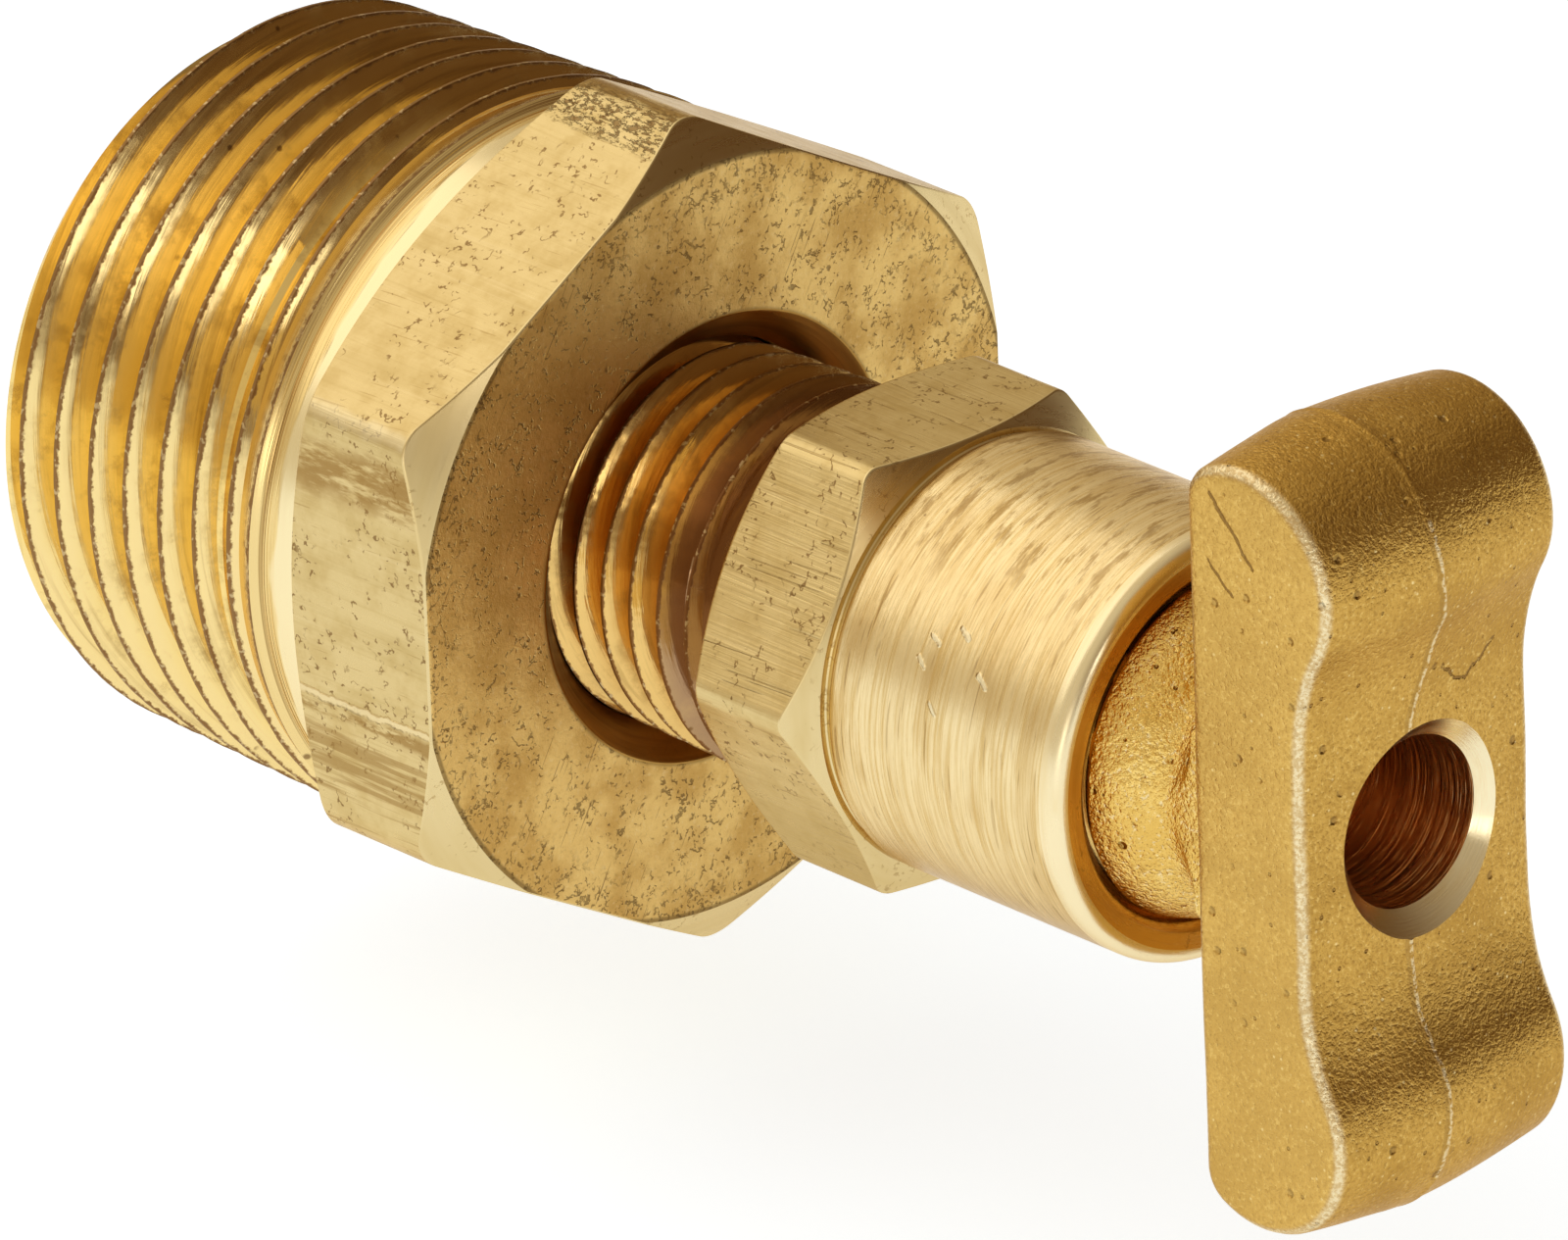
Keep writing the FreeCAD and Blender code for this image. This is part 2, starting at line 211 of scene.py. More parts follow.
class Lathe:
    """A mesh of rows round the X axis. Each row gives x and radius, one value or one per column."""

    def __init__(self, angles):
        self.angles = angles
        self.rows = []
        self.bands = []

    def row(self, x, radius, material=0):
        """Adds a row; the band that leads to it takes the material."""
        full = np.ones_like(self.angles)
        self.rows.append((full * x, full * radius))
        self.bands.append(material)

    def line(self, x0, r0, x1, r1, count, material=0):
        """Adds rows that divide the way from one row to another, without the first."""
        for k in range(1, count + 1):
            t = k / count
            self.row(x0 + (x1 - x0) * t, r0 + (r1 - r0) * t, material)

    def edge(self, before, corner, after, size, first, second):
        """Adds a small rounded edge at corner, between the lines from before and to after."""
        full = np.ones_like(self.angles)
        before, corner, after = (np.stack([full * x, full * r], 1) for x, r in (before, corner, after))

        def along(other, distance):
            away = other - corner
            length = np.linalg.norm(away, axis=1)
            return corner + away * (np.minimum(distance, 0.4 * length) / np.maximum(length, 1e-9))[:, None]

        start, end = along(before, size), along(after, size)
        middle = 0.25 * start + 0.5 * corner + 0.25 * end
        support = size * 1.5
        near, far = along(before, support), along(after, support)
        rows = ((near, first), (start, first), (middle, second), (end, second), (far, second))
        for points, material in rows:
            self.row(points[:, 0], points[:, 1], material)

    def thread(self, start, end, pitch, turn, crest, core, material, wear=0.0):
        """Adds the rows of a right-hand thread: a V groove under the crests, filled up to the core."""
        flat = THREAD_FLAT / 2
        # Shares of a pitch, with rows at both edges of the crest and of the root
        steps = [flat, 0.15, 0.26, 0.37, 0.5 - flat, 0.5 + flat, 0.63, 0.74, 0.85, 1 - flat]
        shift = (self.angles - self.angles[0]) / (2 * math.pi)
        phase = (self.angles[0] - math.radians(turn)) / (2 * math.pi) % 1.0
        turns = int(math.ceil((end - start) / pitch))
        for k in range(-2, turns + 1):
            for step in steps:
                x = np.clip(start + pitch * (k + step + phase + shift), start, end)
                beside = ((x - start) / pitch - phase - shift) % 1.0 - 0.5
                below = np.maximum(0.5 - flat - np.abs(beside), 0) * pitch / FLANK_SLOPE
                radius = np.minimum(np.maximum(crest(x)[1] - below, core(x)), crest(x)[0])
                if wear:
                    points = np.stack([x, radius * np.cos(self.angles), radius * np.sin(self.angles)], 1)
                    radius = radius - wear * crest_wear(points, below)
                self.row(x, radius, material)

    def mesh(self, name, closed=True):
        """The mesh of all rows. It closes from the last row to the first, or with a flat cap at each end."""
        x = np.array([row[0] for row in self.rows])
        radius = np.array([row[1] for row in self.rows])
        points = np.stack([x, radius * np.cos(self.angles), radius * np.sin(self.angles)], 2) * MM
        count, columns = x.shape
        index = np.arange(count * columns).reshape(count, columns)
        last = count if closed else count - 1
        faces, materials = [], []
        for i in range(last):
            a, b = index[i], index[(i + 1) % count]
            faces += np.stack([a[:-1], a[1:], b[1:], b[:-1]], 1).tolist()
            materials += [self.bands[(i + 1) % count]] * (columns - 1)
        if not closed:
            faces += [index[0, :-1].tolist(), index[-1, :-1].tolist()]
            materials += [self.bands[1], self.bands[-1]]
        mesh = bpy.data.meshes.new(name)
        mesh.from_pydata(points.reshape(-1, 3).tolist(), [], faces)
        mesh.polygons.foreach_set("material_index", materials)
        return tidy_mesh(mesh)


def tidy_mesh(mesh):
    """Welds what touches, removes slivers and turns all faces outward."""
    work = bmesh.new()
    work.from_mesh(mesh)
    bmesh.ops.remove_doubles(work, verts=work.verts, dist=WELD_GAP * MM)
    bmesh.ops.dissolve_degenerate(work, edges=work.edges, dist=SLIVER * MM)
    bmesh.ops.recalc_face_normals(work, faces=work.faces)
    work.to_mesh(mesh)
    work.free()
    return mesh


def shade(mesh, degrees):
    """Smooth shading, with a sharp edge wherever faces meet at more than the angle."""
    mesh.polygons.foreach_set("use_smooth", [True] * len(mesh.polygons))
    mesh.set_sharp_from_angle(angle=math.radians(degrees))
    mesh.update()


def place(name, mesh, body, node, materials=()):
    """Puts a mesh in the scene in place of a CAD node."""
    for material in materials:
        mesh.materials.append(material)
    piece = bpy.data.objects.new(name, mesh)
    bpy.context.scene.collection.objects.link(piece)
    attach(piece, body)
    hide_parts(node)


def pipe_thread_profile(start, end, crest_radius, lead, pitch, runout):
    """The crest and core radii of a tapered thread, as functions of x."""
    depth = (0.5 - THREAD_FLAT) * pitch / FLANK_SLOPE

    def crest(x):
        taper = crest_radius + (x - start) * PIPE_TAPER
        return np.minimum(taper, crest_radius - lead + x - start), taper

    def core(x):
        rise = np.maximum(x - end + runout, 0) / runout
        return crest_radius + (x - start) * PIPE_TAPER - depth * (1 - rise)

    return crest, core


def hexagon_rows(lathe, flat, corner, corner_round, back, back_radius, front, front_radius, materials):
    """Adds the rows of a hexagon with chamfered ends, from its back circle to its front circle."""
    chamfer, side = materials
    outline = hexagon_radius(lathe.angles, flat, corner, corner_round)
    back_r = np.minimum(outline, back_radius)
    front_r = np.minimum(outline - BROKEN_EDGE, front_radius)
    back_x = back + (outline - back_r) * CHAMFER_SLOPE
    front_x = front - (outline - front_r) * CHAMFER_SLOPE
    lathe.edge((back, back_r), (back_x, outline), (front_x, outline), EDGE_BEVEL, chamfer, side)
    lathe.line(back_x + 2 * EDGE_BEVEL, outline, front_x - 2 * EDGE_BEVEL, outline, 6, side)
    lathe.edge((back_x, outline), (front_x, outline), (front, front_r), EDGE_BEVEL, side, chamfer)
    return front_x, outline, front_r


def bushing_mesh():
    """Bushing: pipe thread, neck, hexagon and the countersunk hole, with one material number for each."""
    face, thread, neck, flat, chamfer, inside = range(6)
    inlet_face_rows = (7.5, 9.0, 10.5, 11.4)
    lathe = Lathe(column_angles(BUSHING_CORNER))
    lathe.row(0, DRILL_RADIUS + DRILL_CHAMFER, inside)
    for radius in inlet_face_rows:
        lathe.row(0, radius, face)
    crest, core = pipe_thread_profile(0, INLET_END, INLET_CREST, INLET_LEAD, INLET_PITCH, INLET_RUNOUT)
    lathe.thread(0, INLET_END, INLET_PITCH, INLET_TURN, crest, core, thread, INLET_WEAR)
    end_radius = crest(INLET_END)[1]
    neck_start = INLET_END + end_radius - NECK_RADIUS
    lathe.line(INLET_END, end_radius, neck_start, NECK_RADIUS, 2, neck)
    lathe.line(neck_start, NECK_RADIUS, BUSHING_BACK, NECK_RADIUS, 4, neck)
    front_x, outline, front_r = hexagon_rows(
        lathe, BUSHING_FLAT, BUSHING_CORNER, BUSHING_ROUND,
        BUSHING_BACK, NECK_RADIUS, BUSHING_FACE, BUSHING_FACE_RADIUS, (chamfer, flat),
    )

    def tapped(x):
        return COCK_CREST + (x - COCK_INLET) * PIPE_TAPER + JOINT_GAP

    sink_end = BUSHING_FACE - (SINK_RADIUS - tapped(BUSHING_FACE))
    face_rim = (BUSHING_FACE, front_r)
    sink_rim = (BUSHING_FACE, SINK_RADIUS)
    sink_floor = (sink_end, tapped(sink_end))
    lathe.edge((front_x, outline), face_rim, sink_rim, EDGE_BEVEL, chamfer, face)
    lathe.line(BUSHING_FACE, front_r - 2 * EDGE_BEVEL, BUSHING_FACE, SINK_RADIUS + 2 * EDGE_BEVEL, 8, face)
    lathe.edge(face_rim, sink_rim, sink_floor, EDGE_BEVEL, face, inside)
    lathe.line(*sink_rim, *sink_floor, 3, inside)
    lathe.line(*sink_floor, TAP_END, tapped(TAP_END), 6, inside)
    lathe.row(TAP_END - (tapped(TAP_END) - DRILL_RADIUS), DRILL_RADIUS, inside)
    lathe.row(DRILL_CHAMFER, DRILL_RADIUS, inside)
    mesh = lathe.mesh("hex_bushing_look")
    shade(mesh, TURNED_SHARP)
    return mesh


def barrel_rows(lathe, chamfer, barrel, rim):
    """Adds the rows of the barrel's outside: the undercut at the hexagon, the wall and the rounded rim."""
    floor = BARREL_RADIUS - UNDERCUT_DEPTH
    rise = BARREL_BACK + UNDERCUT_WIDTH - UNDERCUT_DEPTH
    run = UNDERCUT_DEPTH * UNDERCUT_STRETCH
    rim_support = 0.2
    lathe.row(BARREL_BACK, BARREL_RADIUS, chamfer)
    lathe.row(BARREL_BACK, floor + UNDERCUT_CORNER, chamfer)
    lathe.row(BARREL_BACK + UNDERCUT_CORNER, floor, chamfer)
    lathe.row(rise, floor, chamfer)
    for turn in np.radians(np.linspace(15, 90, 6)):
        lathe.row(rise + run * (1 - math.cos(turn)), floor + UNDERCUT_DEPTH * math.sin(turn), barrel)
    lathe.line(rise + run, BARREL_RADIUS, MOUTH - RIM_ROUND - rim_support, BARREL_RADIUS, 14, barrel)
    for turn in np.radians(np.linspace(0, 90, 10)):
        x = MOUTH - RIM_ROUND + RIM_ROUND * math.sin(turn)
        lathe.row(x, BARREL_RADIUS - RIM_ROUND * (1 - math.cos(turn)), rim)


def body_mesh():
    """Cock body: pipe thread, hexagon, barrel and the bores inside, with one material number for each."""
    thread, flat, chamfer, barrel, rim, lip, inside = range(7)
    inlet_face_row = 4.5
    lathe = Lathe(column_angles(BODY_CORNER))
    lathe.row(COCK_INLET, INLET_RADIUS, inside)
    lathe.row(COCK_INLET, inlet_face_row, inside)
    crest, core = pipe_thread_profile(COCK_INLET, BODY_BACK, COCK_CREST, COCK_LEAD, COCK_PITCH, COCK_RUNOUT)
    lathe.thread(COCK_INLET, BODY_BACK, COCK_PITCH, COCK_TURN, crest, core, thread, COCK_WEAR)
    lathe.row(BODY_BACK, BODY_BACK_RADIUS, chamfer)
    hexagon_rows(
        lathe, BODY_FLAT, BODY_CORNER, BODY_ROUND,
        BODY_BACK, BODY_BACK_RADIUS, BARREL_BACK, BARREL_RADIUS, (chamfer, flat),
    )
    barrel_rows(lathe, chamfer, barrel, rim)
    bevel_end = MOUTH - (MOUTH_RADIUS - STEM_BORE)
    lathe.line(MOUTH, BARREL_RADIUS - RIM_ROUND, MOUTH, MOUTH_RADIUS + EDGE_BEVEL, 3, lip)
    lathe.row(MOUTH - EDGE_BEVEL / 3, MOUTH_RADIUS + EDGE_BEVEL / 3, lip)
    lathe.line(MOUTH, MOUTH_RADIUS, bevel_end, STEM_BORE, 5, inside)
    lathe.line(bevel_end, STEM_BORE, SEAL_END + STEM_BORE - SEAL_RADIUS, STEM_BORE, 4, inside)
    lathe.row(SEAL_END, SEAL_RADIUS, inside)
    lathe.row(SEAT + SEAL_RADIUS - INLET_RADIUS, SEAL_RADIUS, inside)
    lathe.row(SEAT, INLET_RADIUS, inside)
    mesh = lathe.mesh("cock_body_look")
    shade(mesh, TURNED_SHARP)
    return mesh


def arc(centre, radius, start, end, count):
    """Points of an arc between two angles in degrees."""
    angles = np.radians(np.linspace(start, end, count))
    return np.stack([centre[0] + radius * np.cos(angles), centre[1] + radius * np.sin(angles)], 1)


def handle_outline(inset):
    """Points (x, z) of the handle's outline, drawn in by inset. Every inset gives as many points."""
    rise = LOBE[0] - HANDLE_FRONT
    run = LOBE[1] - WAIST_END
    waist_radius = (run ** 2 + rise ** 2 - LOBE_RADIUS ** 2) / (2 * (LOBE_RADIUS + rise))
    waist = (HANDLE_FRONT + waist_radius, WAIST_END)
    corner_x = HANDLE_BACK + BACK_CORNER
    reach = (LOBE_RADIUS - BACK_CORNER) ** 2 - (corner_x - LOBE[0]) ** 2
    corner = (corner_x, LOBE[1] + math.sqrt(reach))
    corner_turn = math.degrees(math.atan2(corner[1] - LOBE[1], corner[0] - LOBE[0]))
    waist_turn = math.degrees(math.atan2(waist[1] - LOBE[1], waist[0] - LOBE[0]))
    upper = np.concatenate([
        arc(corner, BACK_CORNER - inset, 180, corner_turn, 14)[:-1],
        arc(LOBE, LOBE_RADIUS - inset, corner_turn, waist_turn, 60)[:-1],
        arc(waist, waist_radius + inset, waist_turn + 180, 180, 24),
    ])
    lower = upper[::-1] * np.array([1, -1])
    front_z = np.linspace(WAIST_END, -WAIST_END, 30)[1:-1]
    back_z = np.linspace(-corner[1], corner[1], 50)[1:-1]
    front = np.stack([np.full_like(front_z, HANDLE_FRONT - inset), front_z], 1)
    back = np.stack([np.full_like(back_z, HANDLE_BACK + inset), back_z], 1)
    return np.concatenate([upper, front, lower, back])


def draft(y):
    """How far the handle's outline is drawn in at a distance from the parting line, rounded over there."""
    soft = math.hypot(y, PARTING_SOFT) - PARTING_SOFT
    full = math.hypot(HANDLE_HALF, PARTING_SOFT) - PARTING_SOFT
    return HANDLE_HALF * HANDLE_DRAFT * soft / full


def handle_sections():
    """How far out each section of half the handle lies, and how far its outline is drawn in."""
    flat_end = HANDLE_HALF - EDGE_ROUND
    flash = [(0.0, -FLASH_HEIGHT), (0.07, -FLASH_HEIGHT * 2 / 3), (0.18, 0.0)]
    plain = [(y, 0.0) for y in np.linspace(0.5, flat_end, 9)]
    sections = [(y, ridge + draft(y)) for y, ridge in flash + plain]
    for turn in np.radians(np.linspace(18, 90, 5)):
        inset = draft(flat_end) + EDGE_ROUND * (1 - math.cos(turn))
        sections.append((flat_end + EDGE_ROUND * math.sin(turn), inset))
    rim = sections[-1][1]
    return sections + [(HANDLE_HALF, rim + extra) for extra in (0.1, 0.25, 0.45, 0.7)]


def forge(points):
    """Moves the parting line to where it wanders on the front, and makes the skin slightly uneven."""
    along = points * np.array([1, 0, 1])
    line_y, line_z = np.array(PARTING_LINE).T
    wander = np.interp(points[:, 2], line_z, line_y) + PARTING_WAVER * soft_noise(along, 0.7, 2.0)
    points[:, 1] += wander * np.exp(-((points[:, 1] / PARTING_REACH) ** 2))
    for axis in range(3):
        points[:, axis] += FORGED_WAVE * soft_noise(points, 3.2, 5.0 + 7 * axis)


def handle_block():
    """The forged bar: drafted both ways from the parting line, with a thin ridge of flash along it."""
    half = [np.insert(handle_outline(inset), 1, y, axis=1) for y, inset in handle_sections()]
    flip = np.array([1, -1, 1])
    loops = np.array([loop * flip for loop in half[:0:-1]] + half)
    points = loops.reshape(-1, 3)
    forge(points)
    count, columns = loops.shape[:2]
    index = np.arange(count * columns).reshape(count, columns)
    faces = []
    for i in range(count - 1):
        a, b = index[i], index[i + 1]
        faces += np.stack([a, np.roll(a, -1), np.roll(b, -1), b], 1).tolist()
    faces += [index[0].tolist(), index[-1].tolist()]
    mesh = bpy.data.meshes.new("handle_block")
    mesh.from_pydata((points * MM).tolist(), [], faces)
    return tidy_mesh(mesh)


def stem_mesh():
    """Screw stem with its nose, ring groove and ball-shaped hub, as far as the middle of the handle."""
    shank, hub = range(2)
    lathe = Lathe(np.radians(np.linspace(0, 360, 193)))
    tip = NOSE_START - NOSE_RADIUS + TIP_RADIUS
    lathe.row(tip, TIP_RADIUS, shank)
    lathe.line(tip, TIP_RADIUS, NOSE_START, NOSE_RADIUS, 4, shank)
    lathe.line(NOSE_START, NOSE_RADIUS, GROOVE_START, NOSE_RADIUS, 4, shank)
    lathe.row(GROOVE_START, GROOVE_RADIUS, shank)
    lathe.row(GROOVE_START + GROOVE_WIDTH, GROOVE_RADIUS, shank)
    lathe.row(GROOVE_START + GROOVE_WIDTH, NOSE_RADIUS, shank)
    shank_lead = SHANK_START - STEM_RADIUS + NOSE_RADIUS
    lathe.row(shank_lead, NOSE_RADIUS, shank)
    edge_turn = math.asin(HUB_EDGE_RADIUS / HUB_RADIUS)
    hub_edge = HUB_CENTRE + HUB_RADIUS * math.cos(edge_turn)
    shank_end = hub_edge - HUB_EDGE_RADIUS + STEM_RADIUS
    depth = (0.5 - THREAD_FLAT) * STEM_PITCH / FLANK_SLOPE

    def crest(x):
        full = np.full_like(x, STEM_RADIUS)
        return np.minimum(full, NOSE_RADIUS + x - shank_lead), full

    def core(x):
        return STEM_RADIUS - depth * np.clip((shank_end - STEM_PLAIN_END - x) / STEM_RUNOUT, 0, 1)

    lathe.thread(shank_lead, shank_end, STEM_PITCH, 0, crest, core, shank)
    fillet_x = HANDLE_BACK - HUB_FILLET
    fillet_r = math.sqrt((HUB_RADIUS + HUB_FILLET) ** 2 - (fillet_x - HUB_CENTRE) ** 2)
    blend_turn = math.atan2(fillet_r, fillet_x - HUB_CENTRE)
    for turn in np.linspace(edge_turn, blend_turn, 20):
        lathe.row(HUB_CENTRE + HUB_RADIUS * math.cos(turn), HUB_RADIUS * math.sin(turn), hub)
    for turn in np.linspace(blend_turn - math.pi, 0, 12)[1:]:
        lathe.row(fillet_x + HUB_FILLET * math.cos(turn), fillet_r + HUB_FILLET * math.sin(turn), hub)
    lathe.row((HANDLE_BACK + HANDLE_FRONT) / 2, fillet_r, hub)
    mesh = lathe.mesh("stem", closed=False)
    # The blend into the handle stops where the rounding of the handle's sides begins
    limit = (HANDLE_HALF - EDGE_ROUND) * MM
    work = bmesh.new()
    work.from_mesh(mesh)
    for vertex in work.verts:
        if vertex.co.x > fillet_x * MM:
            vertex.co.y = max(-limit, min(limit, vertex.co.y))
    work.to_mesh(mesh)
    work.free()
    return mesh


def drain_mesh():
    """The drain hole, from the cross hole to past the handle's front, to be cut away."""
    bore, rim = range(2)
    lathe = Lathe(np.radians(np.linspace(0, 360, 121)))
    lathe.row(PORT_PLACE, PORT_RADIUS, bore)
    lathe.line(PORT_PLACE, PORT_RADIUS, DRAIN_END - (DRAIN_RADIUS - PORT_RADIUS), PORT_RADIUS, 2, bore)
    lathe.row(DRAIN_END, DRAIN_RADIUS, bore)
    lathe.line(DRAIN_END, DRAIN_RADIUS, HANDLE_FRONT - (DRAIN_RIM - DRAIN_RADIUS), DRAIN_RADIUS, 6, bore)
    lathe.row(HANDLE_FRONT + CUT_CLEAR, DRAIN_RIM + CUT_CLEAR, rim)
    return lathe.mesh("drain", closed=False)


def cross_port_mesh():
    """The cross hole behind the nose, to be cut away."""
    lathe = Lathe(np.radians(np.linspace(0, 360, 49)))
    reach = NOSE_RADIUS + CUT_CLEAR
    lathe.row(-reach, CROSS_RADIUS)
    lathe.row(reach, CROSS_RADIUS)
    mesh = lathe.mesh("cross_port", closed=False)
    mesh.transform(Matrix.Translation((PORT_PLACE * MM, 0, 0)) @ Matrix.Rotation(math.pi / 2, 4, "Y"))
    return mesh


def combined(first, second, operation):
    """The union or difference of two closed meshes."""
    objects = []
    for mesh in (first, second):
        piece = bpy.data.objects.new("work", mesh)
        bpy.context.scene.collection.objects.link(piece)
        objects.append(piece)
    cut = objects[0].modifiers.new("cut", "BOOLEAN")
    cut.operation = operation
    cut.solver = "EXACT"
    cut.material_mode = "TRANSFER"
    cut.object = objects[1]
    graph = bpy.context.evaluated_depsgraph_get()
    result = bpy.data.meshes.new_from_object(objects[0].evaluated_get(graph), depsgraph=graph)
    for piece in objects:
        bpy.data.objects.remove(piece)
    return result


def handle_mesh(forged, hub, machined, drilled, rim):
    """Handle, hub and stem as one mesh, with the drain hole and the cross hole cut out."""
    block, stem, drain, port = handle_block(), stem_mesh(), drain_mesh(), cross_port_mesh()
    looks = ((block, (forged,)), (stem, (machined, hub)), (drain, (drilled, rim)), (port, (drilled,)))
    for mesh, materials in looks:
        for material in materials:
            mesh.materials.append(material)
    mesh = combined(block, stem, "UNION")
    mesh = combined(mesh, drain, "DIFFERENCE")
    mesh = combined(mesh, port, "DIFFERENCE")
    mesh.name = "tee_handle_look"
    tidy_mesh(mesh)
    shade(mesh, HANDLE_SHARP)
    return mesh


# Materials

def empty_tree(owner):
    """The node tree of a new material or world, without any node."""
    owner.use_nodes = True
    owner.node_tree.nodes.clear()
    return owner.node_tree


def add_node(tree, kind, inputs, **settings):
    """Adds a shader node of a kind. Each of its inputs is a socket to link or a constant to set."""
    node = tree.nodes.new("ShaderNode" + kind)
    for key, value in settings.items():
        setattr(node, key, value)
    for key, value in inputs.items():
        if isinstance(value, bpy.types.NodeSocket):
            tree.links.new(value, node.inputs[key])
        else:
            node.inputs[key].default_value = value
    return node


class Finish:
    """A procedural finish. Its textures use millimetres in the part's own frame."""

    def __init__(self, name):
        self.material = bpy.data.materials.new(name)
        self.tree = empty_tree(self.material)
        self.shader = self.node("BsdfPrincipled", {})
        self.node("OutputMaterial", {0: self.shader.outputs[0]})
        self.where = self.node("TexCoord", {}).outputs
        self.point = self.vector("MULTIPLY", self.where["Object"], (1 / MM, 1 / MM, 1 / MM))
        self.x, self.y, self.z = self.node("SeparateXYZ", {0: self.point}).outputs
        y_square, z_square = (self.times(side, side) for side in (self.y, self.z))
        self.radius = self.math("MAXIMUM", self.math("SQRT", self.add(y_square, z_square)), 0.01)
        self.color = None
        self.stray = None

    def node(self, kind, inputs, **settings):
        return add_node(self.tree, kind, inputs, **settings)

    def math(self, operation, a, b=0.0):
        return self.node("Math", {0: a, 1: b}, operation=operation).outputs[0]

    def add(self, a, b):
        return self.math("ADD", a, b)

    def less(self, a, b):
        return self.math("SUBTRACT", a, b)

    def times(self, a, b):
        return self.math("MULTIPLY", a, b)

    def vector(self, operation, a, b, output=0):
        return self.node("VectorMath", {0: a, 1: b}, operation=operation).outputs[output]

    def scaled(self, direction, amount):
        inputs = {0: direction, "Scale": amount}
        return self.node("VectorMath", inputs, operation="SCALE").outputs[0]

    def stretched(self, x, y, z):
        return self.vector("MULTIPLY", self.point, (x, y, z))

    def turned(self, along, across, around):
        """Coordinates for lathe marks: along the axis, across the radius, and slowly round the axis."""
        sides = (self.math("DIVIDE", side, self.radius) for side in (self.y, self.z))
        y, z = (self.times(side, around) for side in sides)
        along, across = self.times(self.x, along), self.times(self.radius, across)
        return self.node("CombineXYZ", {0: self.add(along, across), 1: y, 2: z}).outputs[0]

    def noise(self, point, scale, detail=3.0, roughness=0.55, output=0):
        inputs = {"Vector": point, "Scale": scale, "Detail": detail, "Roughness": roughness}
        return self.node("TexNoise", inputs).outputs[output]

    def spread(self, value, low, high, start=0.0, end=1.0):
        """Maps low..high to start..end, smoothly and without going past them."""
        inputs = {0: value, 1: low, 2: high, 3: start, 4: end}
        return self.node("MapRange", inputs, interpolation_type="SMOOTHSTEP").outputs[0]

    def all_of(self, *masks):
        """A mask that is 1 only where every mask is."""
        total = masks[0]
        for mask in masks[1:]:
            total = self.times(total, mask)
        return total

    def any_of(self, *masks):
        """A mask that is 1 where any of the masks is."""
        total = masks[0]
        for mask in masks[1:]:
            total = self.math("MAXIMUM", total, mask)
        return total

    def mix(self, factor, a, b):
        inputs = {0: factor}
        for key, value in ((6, a), (7, b)):
            inputs[key] = value if isinstance(value, bpy.types.NodeSocket) else (*value, 1.0)
        return self.node("Mix", inputs, data_type="RGBA").outputs[2]

    def paint(self, over, mask, amount):
        """Lays a colour over the finish where the mask is 1."""
        self.color = self.mix(self.times(mask, amount), self.color, over)

    def moved(self, seed):
        """The point, shifted so that each seed sees another part of the noise."""
        return self.vector("ADD", self.point, (seed, seed * 1.7, seed * 0.6))

    def flecks(self, scale, width, cluster, seed):
        """Short crooked marks in loose clusters, 1 on a mark. A higher cluster value leaves fewer."""
        point = self.moved(seed)
        line = self.math("ABSOLUTE", self.less(self.noise(point, scale, 2.0), 0.5))
        line = self.spread(line, width * 0.4, width, 1.0, 0.0)
        pieces = self.spread(self.noise(self.moved(seed + 5), scale * 1.4, 1.0), 0.52, 0.58)
        group = self.spread(self.noise(self.moved(seed + 9), scale * 0.3, 2.0), cluster, cluster + 0.1)
        return self.all_of(line, pieces, group)

    def strokes(self, direction, length, width, density):
        """Straight scratches along a direction, 1 on a scratch. A higher density value leaves fewer."""
        way = Vector(direction).normalized()
        along = self.vector("DOT_PRODUCT", self.point, way, "Value")
        shorter = self.scaled(way, self.times(along, 1 - width / length))
        squeezed = self.vector("SUBTRACT", self.point, shorter)
        return self.spread(self.noise(squeezed, 0.5 / width, 1.0), density, density + 0.04)

    def specks(self, scale, size, density, seed):
        """Small round dots, 1 inside a dot. A higher density value leaves fewer."""
        point = self.moved(seed)
        cells = self.node("TexVoronoi", {"Vector": point, "Scale": scale}).outputs["Distance"]
        dot = self.spread(cells, size * 0.4, size, 1.0, 0.0)
        return self.all_of(dot, self.spread(self.noise(point, scale * 0.35, 2.0), density, density + 0.06))

    def mark(self, start, end, width, waver, axes=(1, 1, 1)):
        """A line between two places, 1 on the line. It strays by waver, and an axis of 0 isn't looked at."""
        start, end = Vector(start) * Vector(axes), Vector(end) * Vector(axes)
        way = end - start
        if self.stray is None:
            self.stray = self.vector("SUBTRACT", self.noise(self.point, 1.1, 3.0, output=1), (0.5, 0.5, 0.5))
        wavering = self.vector("ADD", self.point, self.scaled(self.stray, waver * 2))
        away = self.vector("SUBTRACT", self.vector("MULTIPLY", wavering, axes), start)
        share = self.vector("DOT_PRODUCT", away, way / way.length_squared, "Value")
        share = self.math("MINIMUM", self.math("MAXIMUM", share, 0.0), 1.0)
        gap = self.vector("DISTANCE", away, self.scaled(way, share), "Value")
        return self.spread(gap, width * 0.3, width, 1.0, 0.0)

    def path(self, places, width, waver, axes):
        """A line through several places."""
        pieces = zip(places, places[1:])
        return self.any_of(*[self.mark(start, end, width, waver, axes) for start, end in pieces])

    def bump(self, height, depth, normal=None):
        inputs = {"Height": height, "Distance": depth * MM, "Strength": 1.0}
        if normal is not None:
            inputs["Normal"] = normal
        return self.node("Bump", inputs).outputs[0]

